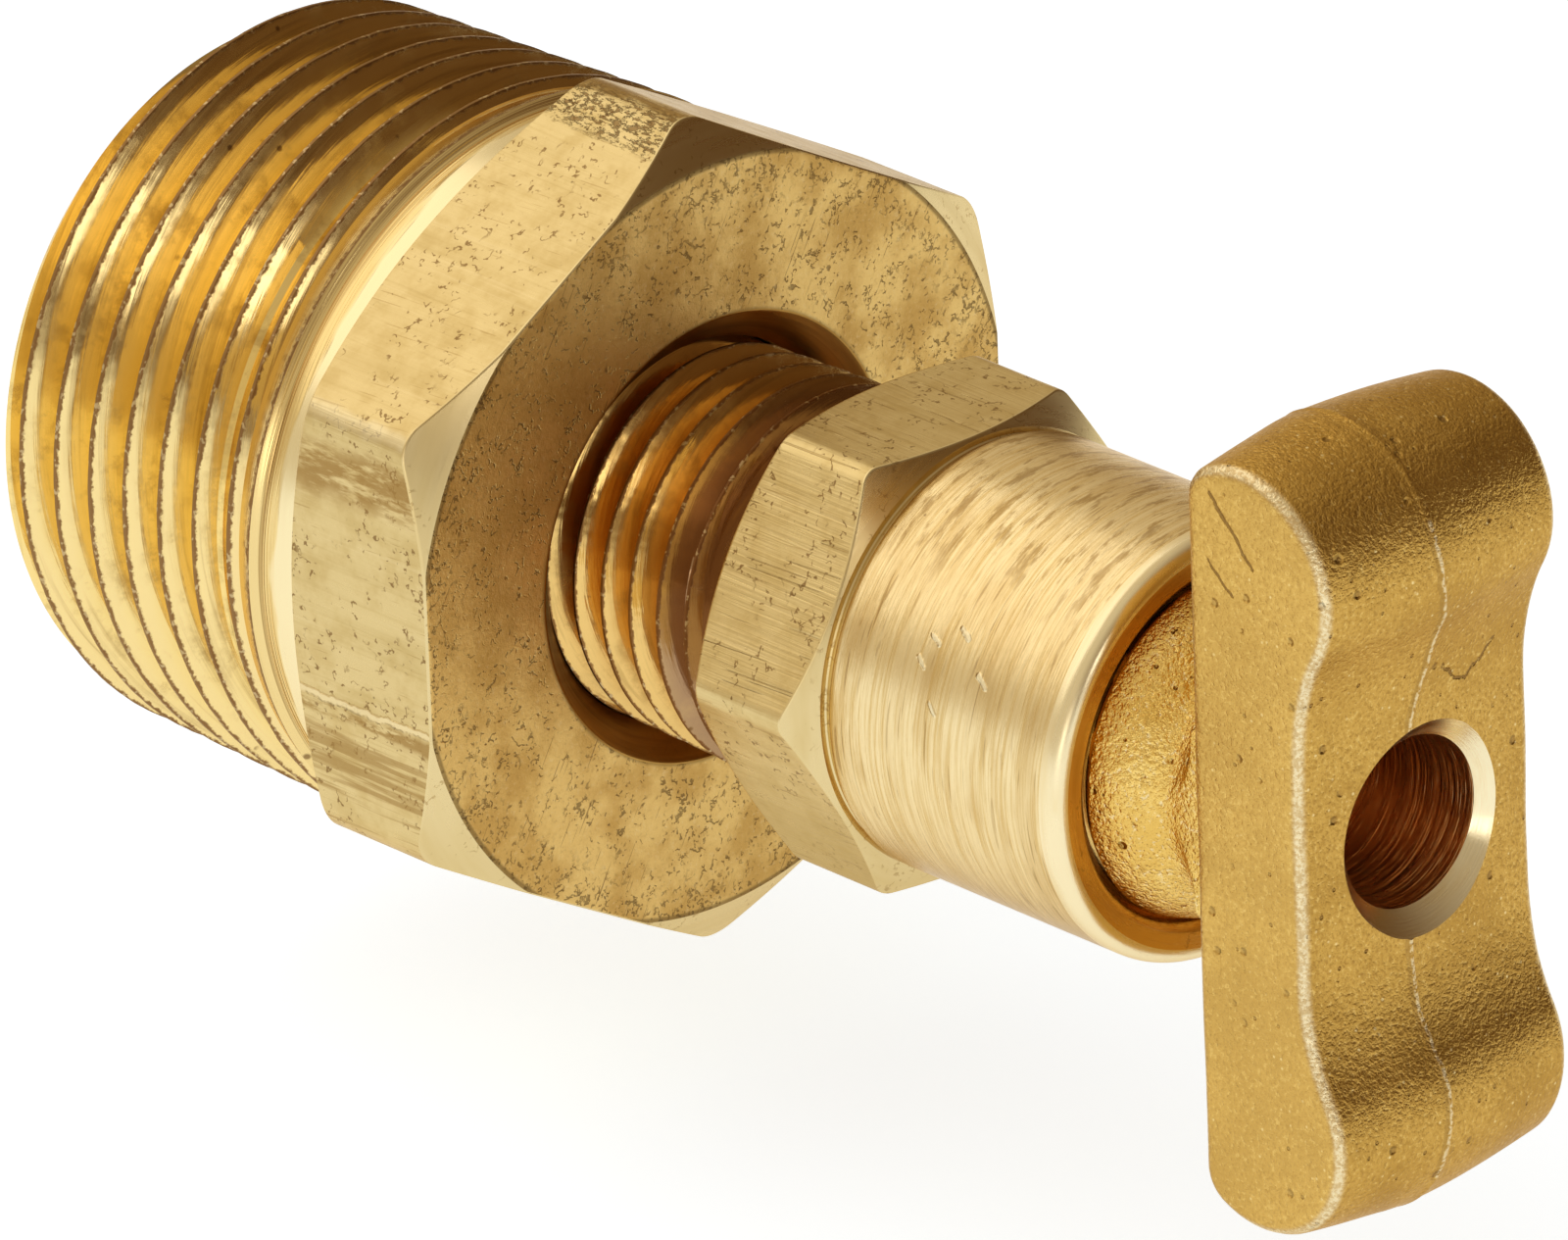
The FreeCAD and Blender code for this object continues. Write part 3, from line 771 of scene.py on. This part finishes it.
    def done(self, roughness, normal, metallic=1.0, anisotropy=0.0):
        """The finished material."""
        inputs = self.shader.inputs
        inputs["Metallic"].default_value = metallic
        if metallic:
            inputs["Specular Tint"].default_value = (*GRAZING_BRASS, 1.0)
        self.tree.links.new(self.color, inputs["Base Color"])
        self.tree.links.new(roughness, inputs["Roughness"])
        self.tree.links.new(normal, inputs["Normal"])
        if anisotropy:
            inputs["Anisotropic"].default_value = anisotropy
            tangent = self.node("Tangent", {}, direction_type="RADIAL", axis="X")
            self.tree.links.new(tangent.outputs[0], inputs["Tangent"])
        return self.material


# How brass tints what it mirrors at a flat angle
GRAZING_BRASS = (0.90, 0.78, 0.62)

# Colours of brass, clean and dirty; some also serve as painted highlights and painted shade
WHITE_GOLD = (0.90, 0.78, 0.50)
CREAM = (0.84, 0.67, 0.36)
PALE = (0.68, 0.51, 0.22)
KHAKI = (0.50, 0.35, 0.12)
GOLD = (0.80, 0.55, 0.18)
AMBER = (0.66, 0.38, 0.085)
BROWN = (0.34, 0.19, 0.05)
UMBER = (0.20, 0.10, 0.03)
DIRT = (0.10, 0.055, 0.02)


def drawn_flats(f):
    """Drawn hexagon bar: lengthwise draw lines, faint stains and short dark scratches."""
    lines = f.noise(f.stretched(0.05, 3.0, 3.0), 1.0, 4.0, 0.7)
    bands = f.noise(f.stretched(0.12, 0.8, 0.8), 1.0, 3.0)
    fine = f.noise(f.stretched(0.25, 12.0, 12.0), 1.0, 2.0)
    stain = f.noise(f.point, 0.7, 5.0, 0.65)
    f.color = f.mix(f.spread(stain, 0.42, 0.66), (0.71, 0.54, 0.245), (0.64, 0.47, 0.195))
    f.paint(KHAKI, f.spread(bands, 0.48, 0.7), 0.25)
    f.paint(KHAKI, f.spread(lines, 0.52, 0.72), 0.32)
    f.paint(CREAM, f.spread(lines, 0.44, 0.32), 0.22)
    f.paint(BROWN, f.strokes((1, 0.04, 0.05), 2.0, 0.05, 0.71), 0.4)
    f.paint(UMBER, f.flecks(2.2, 0.042, 0.46, 3.0), 0.8)
    f.paint(DIRT, f.specks(1.6, 0.10, 0.6, 2.0), 0.6)
    rough = f.add(f.spread(stain, 0.3, 0.8, 0.28, 0.38), f.spread(fine, 0.3, 0.8, -0.03, 0.05))
    normal = f.bump(f.add(lines, f.times(fine, 0.5)), 0.02)
    return rough, normal


def bushing_flats():
    """The bushing's flats: a painted highlight along one corner with a brown rub below it, a ridge with a
    painted highlight on it and a painted shadow under it, and a pitted patch, where the real ones have them.
    """
    f = Finish("bushing_flats")
    rough, normal = drawn_flats(f)
    grit = f.noise(f.stretched(0.6, 1.3, 1.3), 4.2, 4.0, 0.75)
    smear = f.noise(f.stretched(0.5, 2.4, 2.4), 1.0, 4.0, 0.7)
    patch = f.mark((16.8, -0.8, 15.1), (22.0, -1.0, 15.0), 1.4, 0.4)
    pitted = f.all_of(f.spread(patch, 0.1, 0.8), f.spread(grit, 0.5, 0.57))
    f.paint(UMBER, pitted, 0.75)
    top = f.all_of(f.mark((16.6, 0.1, 15.5), (22.4, 0.1, 15.5), 0.8, 0.3), f.spread(smear, 0.38, 0.5))
    f.paint(BROWN, top, 0.75)
    # Painted highlight: a pale stripe along the corner between two flats.
    corner = f.mark((16.0, -13.4, 7.8), (22.8, -13.4, 7.8), 0.5, 0.25)
    corner = f.all_of(corner, f.spread(smear, 0.3, 0.5, 0.4, 1.0))
    f.paint(WHITE_GOLD, corner, 0.5)
    rubbed = f.all_of(f.mark((16.4, -13.5, 5.6), (22.0, -13.5, 5.9), 1.5, 0.4), f.spread(smear, 0.36, 0.56))
    f.paint(BROWN, rubbed, 0.85)
    # Painted highlight: a cream line along the small ridge on the left flat.
    left = f.spread(f.y, -12.9, -13.3)
    ridge = f.all_of(left, f.mark((15.8, 0, -3.0), (22.8, 0, -2.95), 0.2, 0.25, (1, 0, 1)))
    f.paint(CREAM, ridge, 0.8)
    # Painted shadow: a brown strip just under the ridge, broken up by smear noise.
    below = f.mark((15.8, 0, -3.4), (22.8, 0, -3.4), 0.35, 0.25, (1, 0, 1))
    below = f.all_of(left, below, f.spread(smear, 0.4, 0.55))
    f.paint(BROWN, below, 0.8)
    streaks = f.noise(f.stretched(0.1, 2.4, 2.4), 1.0, 4.0, 0.7)
    low = f.all_of(f.spread(f.z, -3.4, -4.4), f.spread(f.y, -8.0, -10.0), f.spread(streaks, 0.47, 0.6))
    f.paint(BROWN, low, 0.65)
    height = f.less(ridge, f.times(pitted, 1.2))
    return f.done(rough, f.bump(height, 0.05, normal))


def body_flats():
    """The cock body's flats: as the bushing's, with deeper draw lines and painted shade towards the bottom.
    """
    f = Finish("body_flats")
    rough, normal = drawn_flats(f)
    deep = f.strokes((1, 0.02, 0.03), 4.0, 0.08, 0.68)
    f.paint(BROWN, deep, 0.42)
    # Painted shade: the flats turn khaki and darker towards the bottom.
    f.paint(KHAKI, f.spread(f.z, -2.0, -6.5), 0.7)
    return f.done(rough, f.bump(f.times(deep, -1.0), 0.03, normal))


def bushing_face():
    """The bushing's end face: brown mottling, clusters of dark marks and a dark line at its edges."""
    f = Finish("bushing_face")
    patch = f.noise(f.point, 0.35, 5.0, 0.6)
    grain = f.noise(f.point, 4.0, 4.0, 0.75)
    f.color = f.mix(f.spread(patch, 0.4, 0.64), (0.80, 0.55, 0.19), (0.64, 0.40, 0.115))
    f.paint(BROWN, f.spread(grain, 0.52, 0.72), 0.32)
    f.paint(CREAM, f.spread(grain, 0.46, 0.32), 0.3)
    clusters = f.any_of(f.flecks(1.8, 0.038, 0.48, 1.0), f.flecks(3.2, 0.05, 0.47, 21.0))
    outer = f.all_of(f.flecks(2.6, 0.055, 0.34, 31.0), f.spread(f.radius, 11.3, 13.4))
    f.paint(DIRT, f.any_of(clusters, outer), 0.62)
    f.paint(UMBER, f.strokes((0, 0.6, 1), 1.2, 0.05, 0.7), 0.6)
    rim = f.spread(f.radius, BUSHING_FACE_RADIUS - 0.17, BUSHING_FACE_RADIUS - 0.05)
    sink = f.spread(f.radius, SINK_RADIUS + 0.2, SINK_RADIUS)
    on_face = f.spread(f.x, BUSHING_FACE - 0.5, BUSHING_FACE - 0.1)
    f.paint(DIRT, f.all_of(f.any_of(rim, sink), on_face), 0.6)
    rough = f.spread(patch, 0.3, 0.75, 0.48, 0.58)
    height = f.less(f.add(grain, patch), clusters)
    return f.done(rough, f.bump(height, 0.025))


def turned_metal(name, light, dark, low, high, close, depth, streak=0.5, flecks=0.5, around=1.6):
    """Lathe-turned brass. Low to high is its roughness, and its rings have a closeness and a depth."""
    f = Finish(name)
    rings = f.noise(f.turned(close, close, around), 1.0, 4.0, 0.7)
    broad = f.noise(f.turned(1.6, 1.6, 1.2), 1.0, 3.0)
    f.color = f.mix(f.spread(broad, 0.45, 0.8), light, dark)
    f.paint(dark, f.spread(rings, 0.52, 0.72), streak)
    if flecks:
        f.paint(BROWN, f.flecks(2.2, 0.045, 0.5, 4.0), flecks)
    rough = f.add(f.spread(broad, 0.3, 0.7, low, high), f.spread(rings, 0.3, 0.8, -0.03, 0.05))
    return f.done(rough, f.bump(rings, depth))


def neck_metal():
    """The neck behind the hexagon: fine tool lines where the thread runs out, then a bright band."""
    f = Finish("neck_brass")
    rings = f.noise(f.turned(7.0, 0.0, 0.5), 1.0, 2.0, 0.6)
    broad = f.noise(f.turned(1.0, 0.0, 2.0), 1.0, 3.0)
    uneven = f.add(f.x, f.spread(broad, 0.3, 0.7, -0.3, 0.3))
    lined = f.spread(uneven, INLET_END + 0.75, INLET_END + 1.05, 1.0, 0.0)
    f.color = f.mix(lined, (0.92, 0.77, 0.44), (0.84, 0.63, 0.27))
    f.paint(BROWN, f.all_of(lined, f.spread(rings, 0.52, 0.66)), 0.7)
    f.paint(UMBER, f.specks(0.7, 0.14, 0.52, 3.0), 0.8)
    rough = f.spread(broad, 0.3, 0.7, 0.18, 0.28)
    return f.done(rough, f.bump(f.all_of(lined, rings), 0.06))


def barrel_metal():
    """The barrel: polished round the axis, with rubbed lines, brown smears, painted shade on its underside
    and a few nicks.
    """
    f = Finish("barrel_brass")
    rings = f.noise(f.turned(9.0, 0.0, 1.4), 1.0, 4.0, 0.75)
    broad = f.noise(f.turned(0.8, 0.0, 1.6), 1.0, 3.0)
    smear = f.noise(f.turned(2.2, 0.0, 4.0), 1.0, 4.0, 0.7)
    rubs = f.noise(f.turned(6.0, 0.0, 3.0), 1.0, 1.0)
    f.color = f.mix(f.spread(rings, 0.42, 0.66), (0.88, 0.70, 0.38), (0.71, 0.50, 0.20))
    f.paint((0.62, 0.41, 0.15), f.spread(broad, 0.46, 0.68), 0.5)
    f.paint(BROWN, f.all_of(f.spread(rubs, 0.62, 0.68), f.spread(broad, 0.4, 0.6)), 0.6)
    f.paint(BROWN, f.all_of(f.spread(f.z, 4.8, 7.0), f.spread(smear, 0.5, 0.62)), 0.6)
    f.paint(BROWN, f.spread(smear, 0.64, 0.72), 0.35)
    spots = [
        (40.6, -6.6, 4.15), (43.1, -6.95, 3.55), (40.3, -7.0, 3.45), (41.7, -6.25, 4.65), (41.2, -7.5, 2.1),
    ]
    ends = [(x + 0.4, y - 0.15, z - 0.24) for x, y, z in spots]
    nicks = f.any_of(*[f.mark(start, end, 0.13, 0.2) for start, end in zip(spots, ends)])
    f.paint(WHITE_GOLD, nicks, 0.9)
    f.paint(UMBER, f.specks(0.9, 0.07, 0.54, 7.0), 0.6)
    # Painted shade: the underside is painted browner, broken up by smear noise.
    f.paint(BROWN, f.all_of(f.spread(f.z, -3.0, -6.8), f.spread(smear, 0.2, 0.6, 0.4, 1.0)), 0.5)
    rough = f.add(f.spread(rings, 0.3, 0.7, 0.17, 0.29), f.times(nicks, 0.1))
    normal = f.bump(f.add(rings, f.times(broad, 0.8)), 0.02)
    return f.done(rough, f.bump(nicks, 0.04, normal), anisotropy=0.5)


def cut_thread(name, crest, crest_x, pitch, flank, groove, dull_start, dull_end, dull):
    """A cut thread: bright flanks, grooves painted darker towards the root as painted shade, and thin dark
    ragged crests with painted glints.
    """
    f = Finish(name)
    depth = (0.5 - THREAD_FLAT) * pitch / FLANK_SLOPE
    taper = f.add(f.times(f.less(f.x, crest_x), PIPE_TAPER), crest)
    below = f.math("DIVIDE", f.less(taper, f.radius), depth)
    patch = f.noise(f.turned(0.8, 0.0, 2.5), 1.0, 4.0, 0.6)
    rings = f.noise(f.turned(8.0, 8.0, 1.2), 1.0, 3.0, 0.65)
    # Painted shade and painted inter-reflection: the colour turns from flank to groove, then brown at the
    # root, mixed with random patches.
    deep = f.add(below, f.times(f.less(patch, 0.5), 0.5))
    f.color = f.mix(f.spread(deep, 0.15, 0.8), flank, groove)
    f.paint(BROWN, f.spread(deep, 0.84, 1.1), 0.7)
    f.paint(BROWN, f.spread(rings, 0.5, 0.72), 0.4)
    grime = f.noise(f.moved(2.0), 0.55, 5.0, 0.7)
    f.paint(BROWN, f.all_of(f.spread(grime, 0.5, 0.68), f.spread(deep, 0.1, 0.5)), 0.45)
    duller = f.all_of(f.spread(f.x, dull_start, dull_end), f.spread(patch, 0.2, 0.45, 0.5, 1.0))
    f.paint(dull, duller, 0.9)
    jagged = f.spread(f.noise(f.point, 3.0, 4.0, 0.7), 0.3, 0.7, -0.035, 0.035)
    crests = f.spread(f.add(below, jagged), 0.03, 0.085, 1.0, 0.0)
    f.paint((0.20, 0.08, 0.022), crests, 0.88)
    # Painted highlight: pale glints on the crests.
    f.paint(CREAM, f.all_of(crests, f.spread(f.noise(f.point, 4.0, 2.0), 0.58, 0.64)), 0.5)
    f.paint(UMBER, f.specks(0.8, 0.12, 0.56, 6.0), 0.8)
    rough = f.add(f.spread(patch, 0.3, 0.7, 0.11, 0.19), f.times(crests, 0.25))
    rough = f.add(rough, f.times(f.spread(grime, 0.48, 0.66), 0.1))
    normal = f.bump(rings, 0.012)
    return f.done(rough, f.bump(f.noise(f.turned(0.5, 0.0, 6.0), 1.0, 2.0), 0.03, normal))


def grainy(f, light, dark, bright, scale, depth):
    """Shot-blasted forging: a grain with small pits, and bright specks painted as glints."""
    grain = f.noise(f.point, scale, 2.0, 0.6)
    fine = f.noise(f.moved(4.0), scale * 2.2, 1.0)
    coarse = f.noise(f.point, scale * 0.25, 3.0)
    patch = f.noise(f.point, 0.25, 4.0, 0.6)
    pits = f.any_of(f.specks(0.75, 0.15, 0.46, 8.0), f.specks(1.7, 0.16, 0.52, 3.0))
    f.color = f.mix(f.spread(patch, 0.36, 0.7), light, dark)
    f.paint(dark, f.spread(grain, 0.5, 0.64), 0.8)
    f.paint(bright, f.spread(grain, 0.42, 0.32), 0.5)
    f.paint(BROWN, f.spread(fine, 0.6, 0.7), 0.4)
    f.paint(BROWN, f.spread(coarse, 0.58, 0.72), 0.2)
    f.paint(BROWN, pits, 0.75)
    # Painted highlight: bright specks as glints on the grain.
    f.paint((0.95, 0.76, 0.36), f.specks(2.2, 0.16, 0.5, 12.0), 0.7)
    height = f.add(f.add(grain, f.times(fine, 0.35)), coarse)
    return grain, f.bump(f.less(height, f.times(pits, 2.0)), depth)


def forged_handle():
    """The handle's skin, with rubbed bright edges, scratches near its top, a lap in the forging, painted
    light on its flat sides, and a painted highlight and shadow along the parting line.
    """
    f = Finish("forged_brass")
    light, dark, bright = (0.62, 0.37, 0.083), (0.49, 0.275, 0.055), (0.84, 0.58, 0.18)
    grain, normal = grainy(f, light, dark, bright, 6.5, 0.045)
    tilt = f.math("ABSOLUTE", f.node("SeparateXYZ", {0: f.where["Normal"]}).outputs[1])
    # Painted light: the flat sides are painted lighter than the front.
    f.paint((0.88, 0.60, 0.18), f.spread(tilt, 0.9, 0.98), 0.3)
    rounded = f.all_of(f.spread(tilt, 0.15, 0.6), f.spread(tilt, 0.8, 0.99, 1.0, 0.0))
    side = f.math("ABSOLUTE", f.y)
    round_start = HANDLE_HALF - EDGE_ROUND
    outer = f.spread(side, round_start - 0.25, round_start + 0.15)
    wear = f.all_of(rounded, outer, f.spread(grain, 0.6, 0.4, 0.5, 1.0))
    f.paint(WHITE_GOLD, wear, 0.8)
    scratches = f.any_of(
        f.mark((52.9, 0, 12.85), (54.85, 0, 10.65), 0.10, 0.22, (1, 0, 1)),
        f.mark((52.7, 0, 10.35), (53.9, 0, 9.35), 0.07, 0.2, (1, 0, 1)),
    )
    scratches = f.all_of(scratches, f.spread(f.y, -4.8, -5.2))
    front = f.spread(f.x, HANDLE_FRONT - 1.55, HANDLE_FRONT - 0.75)
    lap = ((0, 0.8, 5.8), (0, 1.95, 4.8), (0, 2.8, 5.3), (0, 3.4, 5.9))
    laps = f.path(lap, 0.09, 0.3, (0, 1, 1))
    cuts = f.any_of(scratches, f.all_of(front, laps, f.spread(grain, 0.34, 0.5)))
    f.paint(UMBER, cuts, 0.75)
    # Painted highlight on the flash along the parting line, and a painted shadow just beside it.
    flash = f.path([(0, y, z) for y, z in PARTING_LINE], 0.11, 0.12, (0, 1, 1))
    under = f.path([(0, y - 0.16, z) for y, z in PARTING_LINE], 0.13, 0.12, (0, 1, 1))
    f.paint(BROWN, f.all_of(front, under), 0.45)
    f.paint(WHITE_GOLD, f.all_of(front, flash, f.spread(grain, 0.62, 0.45)), 0.6)
    rough = f.less(f.spread(grain, 0.3, 0.75, 0.31, 0.43), f.times(wear, 0.06))
    return f.done(rough, f.bump(f.times(cuts, -1.0), 0.06, normal))


def hub_metal():
    """The hub: a bright coarse grain."""
    f = Finish("hub_brass")
    grain, normal = grainy(f, (0.90, 0.64, 0.20), (0.76, 0.48, 0.11), WHITE_GOLD, 5.6, 0.08)
    return f.done(f.spread(grain, 0.3, 0.75, 0.18, 0.30), normal)


def rubber():
    """The black ring."""
    f = Finish("ring_rubber_look")
    grain = f.noise(f.point, 6.0, 3.0)
    f.color = f.mix(f.spread(grain, 0.3, 0.7), (0.012, 0.012, 0.013), (0.03, 0.03, 0.032))
    return f.done(f.spread(grain, 0.3, 0.7, 0.45, 0.6), f.bump(grain, 0.01), metallic=0.0)


face_brass = bushing_face()
chamfer_brass = turned_metal("chamfer_brass", (0.76, 0.60, 0.30), PALE, 0.24, 0.32, 5.0, 0.006, streak=0.25)
rim_brass = turned_metal(
    "rim_brass", (0.92, 0.78, 0.48), (0.86, 0.68, 0.36), 0.24, 0.32, 9.0, 0.008, flecks=0,
)
drain_rim = turned_metal("drain_rim", WHITE_GOLD, CREAM, 0.18, 0.26, 9.0, 0.006, flecks=0)
inside_brass = turned_metal("inside_brass", (0.76, 0.45, 0.12), (0.56, 0.29, 0.06), 0.22, 0.32, 6.0, 0.01)
sink_brass = turned_metal("sink_brass", (0.44, 0.25, 0.06), (0.28, 0.14, 0.03), 0.3, 0.4, 6.0, 0.01)
drain_brass = turned_metal(
    "drain_brass", (0.97, 0.60, 0.29), (0.84, 0.43, 0.16), 0.2, 0.3, 3.4, 0.1, flecks=0, around=0.3,
)
stem_brass = turned_metal("stem_brass", GOLD, AMBER, 0.2, 0.3, 9.0, 0.008)
inlet_thread = cut_thread(
    "inlet_thread", INLET_CREST, 0.0, INLET_PITCH,
    flank=(0.90, 0.69, 0.30), groove=(0.90, 0.65, 0.21),
    dull_start=12.0, dull_end=13.6, dull=(0.88, 0.67, 0.30),
)
cock_thread = cut_thread(
    "cock_thread", COCK_CREST, COCK_INLET, COCK_PITCH,
    flank=(0.80, 0.53, 0.18), groove=(0.62, 0.34, 0.085),
    dull_start=26.4, dull_end=27.8, dull=(0.36, 0.215, 0.12),
)

place(
    "hex_bushing_look", bushing_mesh(), "valve_body", "hex_bushing",
    [face_brass, inlet_thread, neck_metal(), bushing_flats(), chamfer_brass, sink_brass],
)
place(
    "cock_body_look", body_mesh(), "valve_body", "cock_body",
    [cock_thread, body_flats(), chamfer_brass, barrel_metal(), rim_brass, inside_brass, inside_brass],
)
handle = handle_mesh(forged_handle(), hub_metal(), stem_brass, drain_brass, drain_rim)
place("tee_handle_look", handle, "handle", "tee_handle")
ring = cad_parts["stem_o_ring"]
ring.data.materials.clear()
ring.data.materials.append(rubber())


# Stage, light and camera

scene = bpy.context.scene
scene.view_settings.view_transform = "Standard"

FLOOR_LEVEL = -0.020
FLOOR_REACH = 6.0
FLOOR_GLOW = 0.72
FLOOR_PAINT = (0.52, 0.62, 0.78, 1)
BRIGHT_SIDE = Vector((-0.67, -0.62, 0.40)).normalized()
DARK_ROOM = (0.12, 0.062, 0.024, 1)
BRIGHT_ROOM = (0.68, 0.60, 0.47, 1)
# The room turns from dark to bright between these cosines to its bright side
DARK_END = -0.6
BRIGHT_START = 0.3
LIT_PLACE = Vector((29, 0, 0)) * MM


def white_floor():
    """A pale floor that looks white to the camera and in reflections, and still takes the shadow."""
    look = bpy.data.materials.new("floor_look")
    tree = empty_tree(look)
    rays = add_node(tree, "LightPath", {}).outputs
    seen = rays["Is Camera Ray"]
    for name in ("Is Glossy Ray", "Is Transmission Ray"):
        seen = add_node(tree, "Math", {0: seen, 1: rays[name]}, operation="MAXIMUM").outputs[0]
    level = add_node(tree, "Math", {0: seen, 1: FLOOR_GLOW}, operation="MULTIPLY").outputs[0]
    glow = add_node(tree, "Emission", {"Strength": level}).outputs[0]
    paint = add_node(tree, "BsdfDiffuse", {"Color": FLOOR_PAINT}).outputs[0]
    both = add_node(tree, "AddShader", {0: paint, 1: glow}).outputs[0]
    add_node(tree, "OutputMaterial", {0: both})
    return look


corners = [(-1, -1), (1, -1), (1, 1), (-1, 1)]
floor_mesh = bpy.data.meshes.new("floor")
floor_points = [(x * FLOOR_REACH, y * FLOOR_REACH, FLOOR_LEVEL) for x, y in corners]
floor_mesh.from_pydata(floor_points, [], [(0, 1, 2, 3)])
floor_mesh.materials.append(white_floor())
floor = bpy.data.objects.new("floor", floor_mesh)
scene.collection.objects.link(floor)


def studio():
    """A soft room, brightest on one side."""
    world = bpy.data.worlds.new("studio")
    tree = empty_tree(world)
    where = add_node(tree, "TexCoord", {}).outputs["Generated"]
    facing = add_node(tree, "VectorMath", {0: where, 1: BRIGHT_SIDE}, operation="DOT_PRODUCT")
    ends = {0: facing.outputs["Value"], 1: DARK_END, 2: BRIGHT_START}
    share = add_node(tree, "MapRange", ends).outputs[0]
    blend = add_node(tree, "Mix", {0: share, 6: DARK_ROOM, 7: BRIGHT_ROOM}, data_type="RGBA")
    sky = add_node(tree, "Background", {"Color": blend.outputs[2]})
    add_node(tree, "OutputWorld", {0: sky.outputs[0]})
    return world


scene.world = studio()


def softbox(name, side, distance, width, height, radiance):
    """A rectangular lamp that faces the part; radiance is how bright it looks."""
    lamp = bpy.data.lights.new(name, "AREA")
    lamp.shape = "RECTANGLE"
    lamp.size, lamp.size_y = width, height
    lamp.energy = radiance * math.pi * width * height
    box = bpy.data.objects.new(name, lamp)
    scene.collection.objects.link(box)
    direction = Vector(side).normalized()
    box.location = LIT_PLACE + direction * distance
    box.rotation_euler = direction.to_track_quat("Z", "Y").to_euler()


softbox("key", (-0.64, -0.27, 0.72), 1.0, 1.4, 0.9, 0.62)
softbox("end_light", (0.97, -0.05, 0.25), 0.9, 0.26, 0.26, 1.8)
softbox("front_light", (0.70, -0.66, 0.06), 0.9, 0.35, 0.22, 1.6)

# The camera was fitted to the part's circles and corners in the photograph
EYE = (593.319, -525.299, 359.499)
RIGHT = (0.690544, 0.722515, -0.033474)
UP = (-0.285545, 0.314846, 0.905172)
LENS = 575.26
SENSOR = 36

camera_data = bpy.data.cameras.new("camera")
camera_data.sensor_width = SENSOR
camera_data.lens = LENS
camera_data.clip_start, camera_data.clip_end = 0.05, 20
camera = bpy.data.objects.new("camera", camera_data)
scene.collection.objects.link(camera)
right, up = Vector(RIGHT).normalized(), Vector(UP).normalized()
turn = Matrix((right, up, right.cross(up))).transposed().to_4x4()
camera.matrix_world = Matrix.Translation(Vector(EYE) * MM) @ turn
scene.camera = camera
